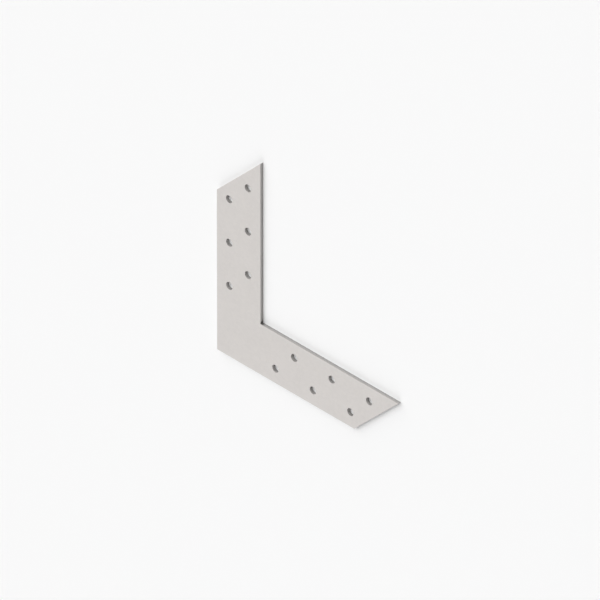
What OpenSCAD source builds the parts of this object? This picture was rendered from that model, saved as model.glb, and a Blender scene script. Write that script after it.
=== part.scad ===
// Flat angle bracket: one L of steel sheet that joins two members which meet at a right angle.
// It lies on its back face. X runs along the foot arm, Y along the upright arm and Z through
// the sheet. The origin is on the back face, where the centre lines of the two arms cross.

/* [Sheet] */
// Thickness of the sheet
sheet_t = 2.2; // [1.5:0.1:4]
// Radius that blanking and punching leave on the front edges
edge_roll = 0.1; // [0.05:0.05:0.5]

/* [Arms] */
// Width of each arm
arm_w = 35; // [33:0.5:45]
// Length of the upright arm along its outer side, from the outer corner
upright_l = 110.8; // [90:0.1:200]
// Length of the foot arm along its outer side, from the outer corner
foot_l = 110; // [90:0.1:200]
// Angle between an arm's side and the cut across its free end
end_angle = 45; // [35:1:60]

/* [Holes] */
// Diameter of each fixing hole
hole_d = 5; // [3.5:0.1:6.5]
// Distance between neighbouring holes of one row
hole_pitch = 30; // [20:1:40]
// Distance of the outer row from the arm's outer side
row_inset = 10; // [8:0.5:11]
// Distance between the outer row and the inner row
row_gap = 15; // [12:0.5:16]
// Distance that the inner row is shifted towards the free end
row_stagger = 15; // [10:0.5:20]
// Distance of the upright arm's first hole from the outer corner
upright_first = 49; // [45:0.5:55]
// Distance of the foot arm's first hole from the outer corner
foot_first = 47; // [45:0.5:55]
// Least distance from a hole's centre to the free end
end_margin = 8; // [6:0.5:12]

/* [Hidden] */
$fn = 96;

// Steel with a pale, dull zinc coat
zinc = [0.82, 0.81, 0.79];
// How far a cutting shape stands past the metal that it cuts
clear = 1;

// Half the width, which is the distance of each side from its arm's centre line
half_w = arm_w / 2;
// How much further an arm runs along its inner side than along its outer side
end_run = arm_w / tan(end_angle);
// Where a hole's wall ends and its rolled rim begins
roll_z = sheet_t - edge_roll;

outer_corner = [-half_w, -half_w];
inner_corner = [half_w, half_w];
foot_heel = [foot_l - half_w, -half_w];
foot_tip = [foot_l + end_run - half_w, half_w];
upright_tip = [half_w, upright_l + end_run - half_w];
upright_heel = [-half_w, upright_l - half_w];

// Furthest that a hole's centre may lie along an arm, at a distance across it
function last_place(arm_l, across) = arm_l + across / tan(end_angle) - end_margin / sin(end_angle);

// Holes that fit in one row
function row_count(arm_l, first, across) = 1 + floor((last_place(arm_l, across) - first) / hole_pitch);

// Centres of an arm's holes, along the arm and across it from the outer corner: outer row, then inner row
function arm_holes(arm_l, first) = [
    for (row = [0, 1])
        let (across = row_inset + row * row_gap, start = first + row * row_stagger)
        for (i = [0:row_count(arm_l, start, across) - 1])
            [start + i * hole_pitch, across]
];

// Plan of the sheet, with both free ends cut along the line from corner to corner
module outline() {
    polygon([outer_corner, foot_heel, foot_tip, inner_corner, upright_tip, upright_heel]);
}

// Section of what a tool rolls off a front edge: X runs into the metal and Y up through the sheet
module roll_section() {
    difference() {
        translate([-clear, roll_z]) square([edge_roll + clear, edge_roll + clear]);
        translate([edge_roll, roll_z]) circle(edge_roll);
    }
}

// The rolled front edge along one side, which runs from one corner to the next with the metal on its left
module side_roll(from, to, before = clear, after = clear) {
    side = to - from;
    translate(from) rotate(atan2(side.y, side.x)) translate([-before, 0, 0])
        rotate([90, 0, 90]) linear_extrude(before + norm(side) + after) roll_section();
}

// The rolled front edge all round the sheet
module outline_roll() {
    side_roll(outer_corner, foot_heel);
    side_roll(foot_heel, foot_tip);
    side_roll(foot_tip, inner_corner, after = 0);
    side_roll(inner_corner, upright_tip, before = 0);
    side_roll(upright_tip, upright_heel);
    side_roll(upright_heel, outer_corner);
    // In the inner corner the two rolled edges run into each other on the diagonal
    intersection() {
        side_roll(foot_tip, inner_corner, after = edge_roll);
        side_roll(inner_corner, upright_tip, before = edge_roll);
    }
}

// One fixing hole with its rolled rim on the front
module fixing_hole() {
    translate([0, 0, -clear]) cylinder(h = sheet_t + 2 * clear, d = hole_d);
    rotate_extrude() translate([hole_d / 2, 0]) roll_section();
}

// The two staggered rows of holes of the arm that lies along X
module hole_rows(arm_l, first) {
    for (at = arm_holes(arm_l, first))
        translate(outer_corner + at) fixing_hole();
}

// The whole bracket: a blanked L with a hole pattern in each arm
module angle_plate() {
    color(zinc) difference() {
        linear_extrude(sheet_t) outline();
        outline_roll();
        hole_rows(foot_l, foot_first);
        mirror([1, -1, 0]) hole_rows(upright_l, upright_first);
    }
}

angle_plate();
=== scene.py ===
import math

import bpy
from mathutils import Matrix, Vector


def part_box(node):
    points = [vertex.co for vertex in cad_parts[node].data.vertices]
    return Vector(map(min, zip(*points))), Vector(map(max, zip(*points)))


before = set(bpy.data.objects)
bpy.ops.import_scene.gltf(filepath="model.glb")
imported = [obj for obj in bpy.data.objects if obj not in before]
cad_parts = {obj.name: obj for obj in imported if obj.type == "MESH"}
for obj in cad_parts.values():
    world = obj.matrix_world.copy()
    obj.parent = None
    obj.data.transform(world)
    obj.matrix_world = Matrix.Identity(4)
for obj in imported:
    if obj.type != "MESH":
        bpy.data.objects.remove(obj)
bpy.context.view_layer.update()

MM = 0.001

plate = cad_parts["angle_plate"]
lowest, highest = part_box("angle_plate")
sheet = highest.z
# The arms' centre lines cross at the origin, so the inner corner lies as far in as the outer one lies out
inner_corner = (-lowest.x / MM, -lowest.y / MM)

# Camera: a long lens that looks equally along the three axes, rolled so that the upright arm stands
lens_mm = 1500
sensor_mm = 36
picture_width = 339.3 * MM
aimed_at = Vector((49.2 * MM, 50.1 * MM, sheet))
# The camera shows what lies between these two multiples of its distance
nearest_shown = 0.5
furthest_shown = 2.0

# Light, as shares of what falls on the open floor: a faint even sky, a broad main lamp and two low ones
sky_share = 0.06
backdrop_strength = 1.0
# Each lamp's name, its direction from the plate, the angle that it spans and its share
lamps = [
    ("main_lamp", Vector((-0.5, 1.0, 1.1)), math.radians(90), 0.685),
    ("low_front_lamp", Vector((0.0, -1.0, 0.36)), math.radians(50), 0.22),
    ("low_side_lamp", Vector((-1.0, 0.0, 0.36)), math.radians(50), 0.035),
]

# Colours, as linear shares of the light that they return
floor_white = (0.95, 0.95, 0.95)
zinc_colour = (0.636, 0.608, 0.587)
burnished_colour = (0.45, 0.436, 0.422)
torn_colour = (0.376, 0.366, 0.357)
# The last colour is painted shade for the inner corner, not a colour that the plate has
painted_shade_colour = (0.075, 0.071, 0.067)

# Shine: how metallic and rough the coat is, and how much rougher or smoother each kind of place is
metallic = 0.5
coat_roughness = 0.45
crystal_roughness = 0.08
burnished_smoothness = 0.07
torn_roughness = 0.2

# How far along Z a cut edge looks at most, and a face at least
edge_looks_up = 0.2
face_looks_up = 0.8

# How many finer layers each noise has
noise_detail = 2.0

# Marks in the zinc, each with its size in mm and how much lighter or darker it makes the coat
crystal_size = 1.7
crystal_tone = 0.045
cloud_size = 20.0
cloud_tone = 0.05
line_width = 0.5
line_tone = 0.02
pit_size = 0.16
pit_tone = 0.08
pit_depth = 0.006

# Places are multiplied by these, so that mill lines grow long along X and scrapes along Z
line_stretch = (0.02, 1.0, 1.0)
scrape_stretch = (1.0, 1.0, 0.15)

# Marks on the cut edges: upright scrapes in the burnished band and coarse grit in the torn one
scrape_width = 0.14
scrape_tone = 0.3
scrape_depth = 0.01
grit_size = 0.2
grit_tone = 0.4
grit_depth = 0.06

# Height in mm at which the burnished band gives way to the torn one, and how that line wanders
torn_below = 1.3
torn_fully_below = 0.8
torn_wander = 0.8
torn_wander_size = 0.5

# Painted shade in the inner corner, darkening the cut edges where shade falls: two distances in mm along
# the edges, and how much of the edge it darkens
painted_shade_full_within = 0.9
painted_shade_gone_beyond = 2.2
painted_shade_cover = 0.62


class Value:
    """A number that varies over a surface, written as in arithmetic."""

    def __init__(self, shader, socket):
        self.shader = shader
        self.socket = socket

    def _math(self, operation, first, second=0.0):
        settings = {"operation": operation}
        return self.shader.node("ShaderNodeMath", settings, {0: first, 1: second})[0]

    def __add__(self, other):
        return self._math("ADD", self, other)

    __radd__ = __add__

    def __sub__(self, other):
        return self._math("SUBTRACT", self, other)

    def __rsub__(self, other):
        return self._math("SUBTRACT", other, self)

    def __mul__(self, other):
        return self._math("MULTIPLY", self, other)

    __rmul__ = __mul__

    def __abs__(self):
        return self._math("ABSOLUTE", self)


class Outputs:
    """The outputs of a node, by number or name."""

    def __init__(self, shader, node):
        self.shader = shader
        self.node = node

    def __getitem__(self, key):
        return Value(self.shader, self.node.outputs[key])


class Shader:
    """A material or world being made of nodes."""

    def __init__(self, tree):
        self.tree = tree
        self.tree.nodes.clear()

    def node(self, kind, settings=None, sockets=None):
        """Adds a node, sets it up, then fills its inputs with numbers or links. Returns its outputs."""
        made = self.tree.nodes.new(kind)
        for name, value in (settings or {}).items():
            setattr(made, name, value)
        for key, value in (sockets or {}).items():
            if isinstance(value, Value):
                self.tree.links.new(value.socket, made.inputs[key])
            else:
                made.inputs[key].default_value = value
        return Outputs(self, made)

    def between(self, value, low, high):
        """0 where value is at low, 1 where it is at high, and smooth between them."""
        settings = {"interpolation_type": "SMOOTHSTEP"}
        return self.node("ShaderNodeMapRange", settings, {0: value, 1: low, 2: high})[0]

    def mix(self, share, first, second):
        """The first colour where share is 0 and the second where it is 1."""
        first, second = (c if isinstance(c, Value) else (*c, 1.0) for c in (first, second))
        return self.node("ShaderNodeMix", {"data_type": "RGBA"}, {0: share, 6: first, 7: second})[2]

    def shaded(self, colour, tone):
        """A fixed colour, made lighter or darker by a tone that is 1 where it stays as it is."""
        return self.node("ShaderNodeVectorMath", {"operation": "SCALE"}, {0: colour, "Scale": tone})[0]

    def stretched(self, place, factors):
        """A place multiplied along each axis."""
        return self.node("ShaderNodeVectorMath", {"operation": "MULTIPLY"}, {0: place, 1: factors})[0]

    def moved(self, place, distance):
        """A place moved by the same distance along each axis."""
        return self.node("ShaderNodeVectorMath", {"operation": "ADD"}, {0: place, 1: distance})[0]

    def along(self, vector, axis):
        """How far a vector goes along axis 0, 1 or 2."""
        return self.node("ShaderNodeSeparateXYZ", {}, {0: vector})[axis]

    def noise(self, place, size):
        """Even noise from -0.5 to 0.5 whose lumps are about size across."""
        sockets = {"Vector": place, "Scale": 1 / size, "Detail": noise_detail}
        return self.node("ShaderNodeTexNoise", {}, sockets)["Fac"] - 0.5

    def crystals(self, place, size):
        """A number from -0.5 to 0.5 that is the same all over each crystal."""
        colour = self.node("ShaderNodeTexVoronoi", {}, {"Vector": place, "Scale": 1 / size})["Color"]
        return self.node("ShaderNodeSeparateColor", {}, {0: colour})[0] - 0.5


def new_material(name):
    material = bpy.data.materials.new(name)
    material.use_nodes = True
    return material, Shader(material.node_tree)


def zinc_coated_steel():
    """Dull zinc on the two faces. The cut edges are bare: burnished next to the front, torn behind."""
    material, s = new_material("zinc_coated_steel")
    in_mm = s.stretched(s.node("ShaderNodeTexCoord")["Object"], (1 / MM, 1 / MM, 1 / MM))
    normal = s.node("ShaderNodeNewGeometry")["Normal"]
    cut = 1 - s.between(abs(s.along(normal, 2)), edge_looks_up, face_looks_up)

    # Faint marks of the coat: crystals with wandering borders, cloudy patches, mill lines and tiny pits
    wandering = s.moved(in_mm, s.noise(in_mm, crystal_size) * crystal_size)
    crystal = s.crystals(wandering, crystal_size)
    cloud = s.noise(in_mm, cloud_size)
    line = s.noise(s.stretched(in_mm, line_stretch), line_width)
    pit = s.noise(in_mm, pit_size)
    marks = crystal * crystal_tone + cloud * cloud_tone + line * line_tone + pit * pit_tone
    coat = s.shaded(zinc_colour, 1 + marks)

    # The punch burnishes the sheet from the front, and the rest tears along a ragged line
    upright = s.stretched(in_mm, scrape_stretch)
    height = s.along(in_mm, 2) + s.noise(upright, torn_wander_size) * torn_wander
    torn = 1 - s.between(height, torn_fully_below, torn_below)
    scrape = s.noise(upright, scrape_width)
    grit = s.noise(in_mm, grit_size)
    burnished_edge = s.shaded(burnished_colour, 1 + scrape * scrape_tone)
    torn_edge = s.shaded(torn_colour, 1 + grit * grit_tone)
    unshaded_edge = s.mix(torn, burnished_edge, torn_edge)

    # Painted shade: the cut edges are darkened in the sharp inner corner, where shade falls, and it fades
    # out along both edges
    from_corner = abs(s.along(in_mm, 0) - inner_corner[0]) + abs(s.along(in_mm, 1) - inner_corner[1])
    painted_shade = 1 - s.between(from_corner + scrape, painted_shade_full_within, painted_shade_gone_beyond)
    edge = s.mix(painted_shade * painted_shade_cover, unshaded_edge, painted_shade_colour)

    edge_relief = (1 - torn) * scrape * scrape_depth + torn * grit * grit_depth
    relief = (1 - cut) * pit * pit_depth + cut * edge_relief
    roughness = coat_roughness + crystal * crystal_roughness
    roughness = roughness - cut * burnished_smoothness + cut * torn * torn_roughness
    surface = s.node("ShaderNodeBsdfPrincipled", {}, {
        "Base Color": s.mix(cut, coat, edge),
        "Metallic": metallic,
        "Roughness": roughness,
        "Normal": s.node("ShaderNodeBump", {}, {"Distance": MM, "Height": relief})[0],
    })[0]
    s.node("ShaderNodeOutputMaterial", {}, {"Surface": surface})
    return material


def floor_paint():
    material, s = new_material("floor_paint")
    surface = s.node("ShaderNodeBsdfDiffuse", {}, {"Color": (*floor_white, 1.0)})[0]
    s.node("ShaderNodeOutputMaterial", {}, {"Surface": surface})
    return material


def lay_floor():
    reach = 4.0
    corners = [(-reach, -reach, 0.0), (reach, -reach, 0.0), (reach, reach, 0.0), (-reach, reach, 0.0)]
    mesh = bpy.data.meshes.new("floor")
    mesh.from_pydata(corners, [], [(0, 1, 2, 3)])
    mesh.materials.append(floor_paint())
    floor = bpy.data.objects.new("floor", mesh)
    bpy.context.scene.collection.objects.link(floor)


def light_sky():
    """The sky lights things faintly, while the camera, mirrors and clear things see it as even white."""
    world = bpy.data.worlds.new("sky")
    world.use_nodes = True
    bpy.context.scene.world = world
    s = Shader(world.node_tree)
    white = (1.0, 1.0, 1.0, 1.0)
    light = s.node("ShaderNodeBackground", {}, {"Color": white, "Strength": sky_share})[0]
    backdrop = s.node("ShaderNodeBackground", {}, {"Color": white, "Strength": backdrop_strength})[0]
    path = s.node("ShaderNodeLightPath")
    seen = path["Is Camera Ray"] + path["Is Glossy Ray"] + path["Is Transmission Ray"]
    shown = s.node("ShaderNodeMixShader", {}, {0: seen, 1: light, 2: backdrop})[0]
    s.node("ShaderNodeOutputWorld", {}, {"Surface": shown})


def hang_lamp(name, towards, spread, share):
    light = bpy.data.lights.new(name, "SUN")
    light.angle = spread
    # By itself this strength lights a white floor to the lamp's share of full white
    light.energy = share * math.pi / towards.normalized().z
    lamp = bpy.data.objects.new(name, light)
    lamp.rotation_mode = "QUATERNION"
    lamp.rotation_quaternion = towards.to_track_quat("Z", "Y")
    # The zinc mirrors the white backdrop and not the lamps, so that it looks the same pale grey all round
    lamp.visible_glossy = False
    bpy.context.scene.collection.objects.link(lamp)


def set_camera():
    back = Vector((1, 1, 1)).normalized()
    right = Vector((1, 0, -1)).normalized()
    up = back.cross(right)
    lens = bpy.data.cameras.new("camera")
    lens.lens = lens_mm
    lens.sensor_width = sensor_mm
    away = picture_width * lens_mm / sensor_mm
    lens.clip_start = away * nearest_shown
    lens.clip_end = away * furthest_shown
    camera = bpy.data.objects.new("camera", lens)
    turn = Matrix((right, up, back)).transposed().to_4x4()
    camera.matrix_world = Matrix.Translation(aimed_at + back * away) @ turn
    bpy.context.scene.collection.objects.link(camera)
    bpy.context.scene.camera = camera


set_camera()
lay_floor()
light_sky()
for lamp in lamps:
    hang_lamp(*lamp)
plate.data.materials.clear()
plate.data.materials.append(zinc_coated_steel())
bpy.context.scene.view_settings.view_transform = "Standard"
